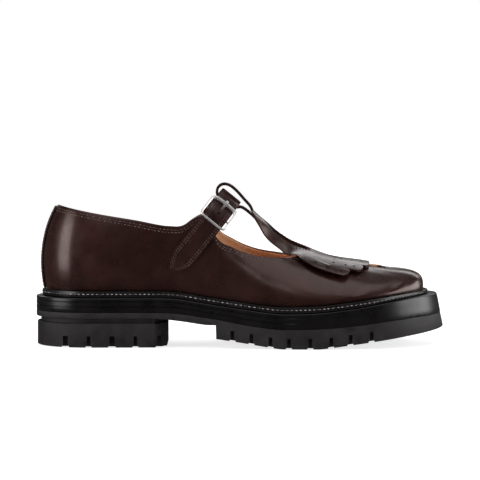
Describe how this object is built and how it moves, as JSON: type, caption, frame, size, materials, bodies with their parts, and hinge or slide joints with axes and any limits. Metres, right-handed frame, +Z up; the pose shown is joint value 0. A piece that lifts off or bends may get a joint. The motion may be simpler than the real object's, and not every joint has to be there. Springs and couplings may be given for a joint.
{
  "type": "tabi mary jane shoe",
  "caption": "Right split-toe mary jane: hollow leather upper with slotted T-strap and fringe, buckled cross strap, stitched welt, ribbed midsole and notched lug sole with a block heel",
  "frame": {"origin": "on the floor, under the middle of the sole's bounding box", "axes": "toe along +X, medial side along +Y and lateral side along -Y, up is +Z"},
  "size_m": [0.275, 0.1, 0.1086],
  "materials": {
    "burgundy_leather": "brushed-off high shine, very dark burgundy brown",
    "black_rubber": "satin on the midsole, matte on the tread",
    "black_welt": "satin, stitched round the edge",
    "tan_lining": "undyed, unglazed",
    "polished_steel": "mirror polish"
  },
  "bodies": {
    "root": {"heel_block": "black_rubber", "outsole": "black_rubber", "midsole": "black_rubber", "welt": "black_welt", "insole": "tan_lining", "upper": "burgundy_leather", "heel_strip": "burgundy_leather", "kiltie_strap": "burgundy_leather", "instep_strap": "burgundy_leather", "buckle_frame": "polished_steel", "buckle_prong": "polished_steel", "buckle_tab": "burgundy_leather"}
  },
  "joints": []
}
